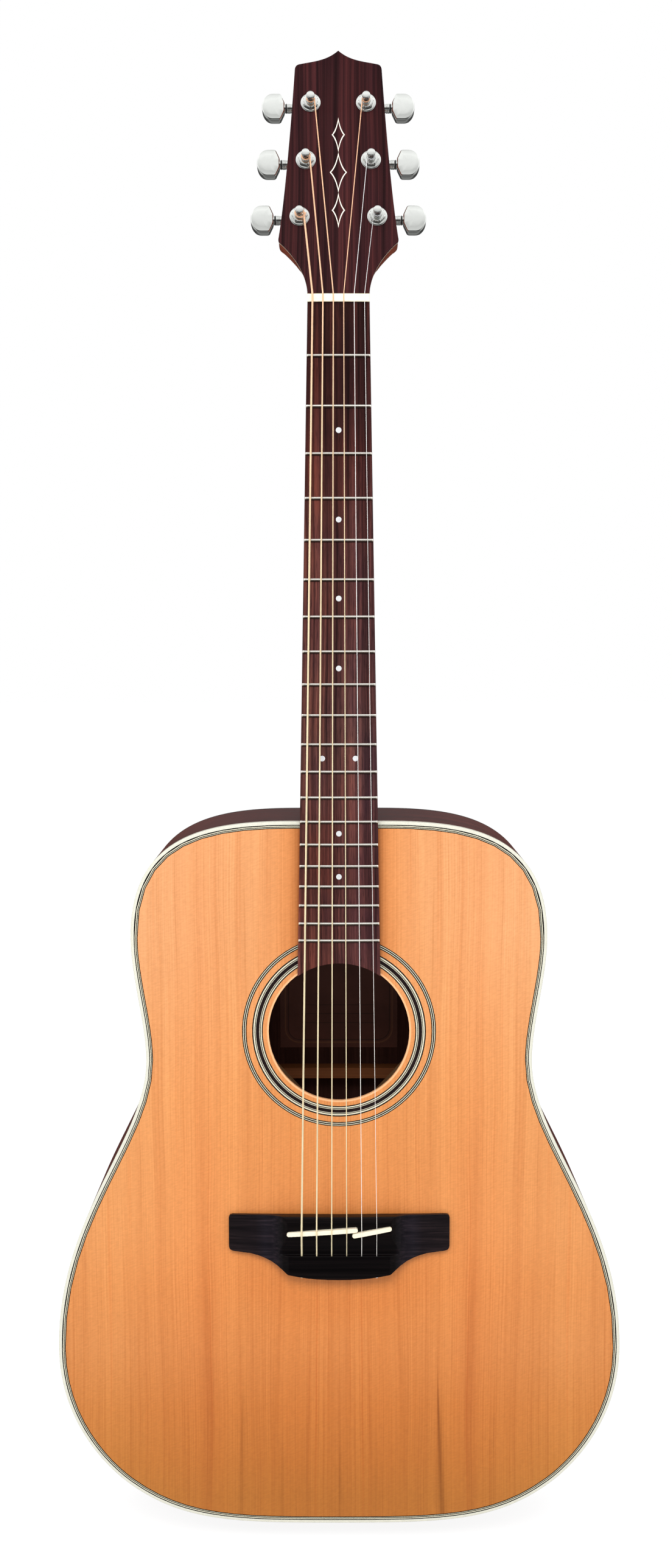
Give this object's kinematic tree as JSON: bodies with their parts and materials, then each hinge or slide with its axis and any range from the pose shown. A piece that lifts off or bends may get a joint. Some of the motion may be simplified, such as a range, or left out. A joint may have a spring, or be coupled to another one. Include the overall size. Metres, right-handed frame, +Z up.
{
  "type": "acoustic guitar",
  "caption": "Flat-top steel-string acoustic guitar with a cedar front, two-piece saddle, tilted headstock and geared tuning machines.",
  "frame": {"origin": "tail end of the soundboard's centre line, on its outer face", "axes": "+Z up the neck to the headstock, -Y out of the soundboard, +X to the treble side"},
  "size_m": [0.4046, 0.1367, 1.0662],
  "materials": {
    "cedar_top": "gloss",
    "black_line": "gloss",
    "cream_line": "gloss",
    "rosette_band": "gloss",
    "cream_binding": "gloss",
    "body_mahogany": "satin",
    "dark_binding": "gloss",
    "brace_wood": "raw",
    "block_mahogany": "raw",
    "label_paper": "matt paper",
    "neck_mahogany": "satin",
    "rosewood_facing": "gloss",
    "rosewood_board": "oiled",
    "fret_silver": "polished",
    "pearl_dot": "pearl",
    "bone": "polished",
    "rod_steel": "plain",
    "dark_steel": "blackened",
    "chrome": "polished",
    "ebony_bridge": "satin",
    "bronze_wrap": "wound",
    "plain_steel": "polished",
    "black_plastic": "gloss",
    "gear_bronze": "plain"
  },
  "bodies": {
    "guitar": {"soundboard": "cedar_top", "rosette_black_lines": "black_line", "rosette_cream_lines": "cream_line", "rosette_dark_band": "rosette_band", "top_binding": "cream_binding", "purfling_black": "black_line", "purfling_cream": "cream_line", "side_bass": "body_mahogany", "side_treble": "body_mahogany", "back_plate": "body_mahogany", "back_binding": "dark_binding", "linings": "brace_wood", "neck_block": "block_mahogany", "tail_block": "block_mahogany", "top_braces": "brace_wood", "bridge_plate": "brace_wood", "back_braces": "brace_wood", "label": "label_paper", "neck": "neck_mahogany", "headstock_facing": "rosewood_facing", "fretboard": "rosewood_board", "frets": "fret_silver", "fret_markers": "pearl_dot", "nut": "bone", "truss_rod": "rod_steel", "tuner_housings": "chrome", "tuner_bushings": "chrome", "tuner_washers": "chrome", "tuner_screws": "chrome", "bridge": "ebony_bridge", "saddle_bass": "bone", "saddle_treble": "bone", "strings_wound": "bronze_wrap", "strings_plain": "plain_steel", "end_pin": "black_plastic"},
    "truss_nut": {"truss_rod_nut": "dark_steel"},
    "knob_1": {"tuner_1_button": "chrome", "tuner_1_worm": "rod_steel"},
    "post_1": {"tuner_1_post": "chrome", "tuner_1_gear": "gear_bronze"},
    "knob_2": {"tuner_2_button": "chrome", "tuner_2_worm": "rod_steel"},
    "post_2": {"tuner_2_post": "chrome", "tuner_2_gear": "gear_bronze"},
    "knob_3": {"tuner_3_button": "chrome", "tuner_3_worm": "rod_steel"},
    "post_3": {"tuner_3_post": "chrome", "tuner_3_gear": "gear_bronze"},
    "knob_4": {"tuner_4_button": "chrome", "tuner_4_worm": "rod_steel"},
    "post_4": {"tuner_4_post": "chrome", "tuner_4_gear": "gear_bronze"},
    "knob_5": {"tuner_5_button": "chrome", "tuner_5_worm": "rod_steel"},
    "post_5": {"tuner_5_post": "chrome", "tuner_5_gear": "gear_bronze"},
    "knob_6": {"tuner_6_button": "chrome", "tuner_6_worm": "rod_steel"},
    "post_6": {"tuner_6_post": "chrome", "tuner_6_gear": "gear_bronze"}
  },
  "joints": [
    {"name": "knob_1_turn", "type": "hinge", "parent": "guitar", "child": "knob_1", "pos_m": [-0.0268, 0.03412, 0.93371], "axis": [1, 0, 0], "continuous": true},
    {"name": "post_1_turn", "type": "hinge", "parent": "guitar", "child": "post_1", "pos_m": [-0.0268, 0.03247, 0.92706], "axis": [0, 0.9703, -0.2419], "continuous": true},
    {"name": "knob_2_turn", "type": "hinge", "parent": "guitar", "child": "knob_2", "pos_m": [-0.0226, 0.04426, 0.97436], "axis": [1, 0, 0], "continuous": true},
    {"name": "post_2_turn", "type": "hinge", "parent": "guitar", "child": "post_2", "pos_m": [-0.0226, 0.0426, 0.96772], "axis": [0, 0.9703, -0.2419], "continuous": true},
    {"name": "knob_3_turn", "type": "hinge", "parent": "guitar", "child": "knob_3", "pos_m": [-0.0193, 0.05459, 1.0158], "axis": [1, 0, 0], "continuous": true},
    {"name": "post_3_turn", "type": "hinge", "parent": "guitar", "child": "post_3", "pos_m": [-0.0193, 0.05293, 1.00915], "axis": [0, 0.9703, -0.2419], "continuous": true},
    {"name": "knob_4_turn", "type": "hinge", "parent": "guitar", "child": "knob_4", "pos_m": [0.0193, 0.05459, 1.0158], "axis": [1, 0, 0], "continuous": true},
    {"name": "post_4_turn", "type": "hinge", "parent": "guitar", "child": "post_4", "pos_m": [0.0193, 0.05293, 1.00915], "axis": [0, 0.9703, -0.2419], "continuous": true},
    {"name": "knob_5_turn", "type": "hinge", "parent": "guitar", "child": "knob_5", "pos_m": [0.0226, 0.04426, 0.97436], "axis": [1, 0, 0], "continuous": true},
    {"name": "post_5_turn", "type": "hinge", "parent": "guitar", "child": "post_5", "pos_m": [0.0226, 0.0426, 0.96772], "axis": [0, 0.9703, -0.2419], "continuous": true},
    {"name": "knob_6_turn", "type": "hinge", "parent": "guitar", "child": "knob_6", "pos_m": [0.0268, 0.03412, 0.93371], "axis": [1, 0, 0], "continuous": true},
    {"name": "post_6_turn", "type": "hinge", "parent": "guitar", "child": "post_6", "pos_m": [0.0268, 0.03247, 0.92706], "axis": [0, 0.9703, -0.2419], "continuous": true},
    {"name": "truss_nut_turn", "type": "hinge", "parent": "guitar", "child": "truss_nut", "pos_m": [0, 0.0075, 0.4631], "axis": [0, 0, 1], "range_deg": [-180, 180]}
  ],
  "couplings": [
    {"joint": "post_1_turn", "follows": "knob_1_turn", "ratio": -0.071429},
    {"joint": "post_2_turn", "follows": "knob_2_turn", "ratio": -0.071429},
    {"joint": "post_3_turn", "follows": "knob_3_turn", "ratio": -0.071429},
    {"joint": "post_4_turn", "follows": "knob_4_turn", "ratio": -0.071429},
    {"joint": "post_5_turn", "follows": "knob_5_turn", "ratio": -0.071429},
    {"joint": "post_6_turn", "follows": "knob_6_turn", "ratio": -0.071429}
  ]
}
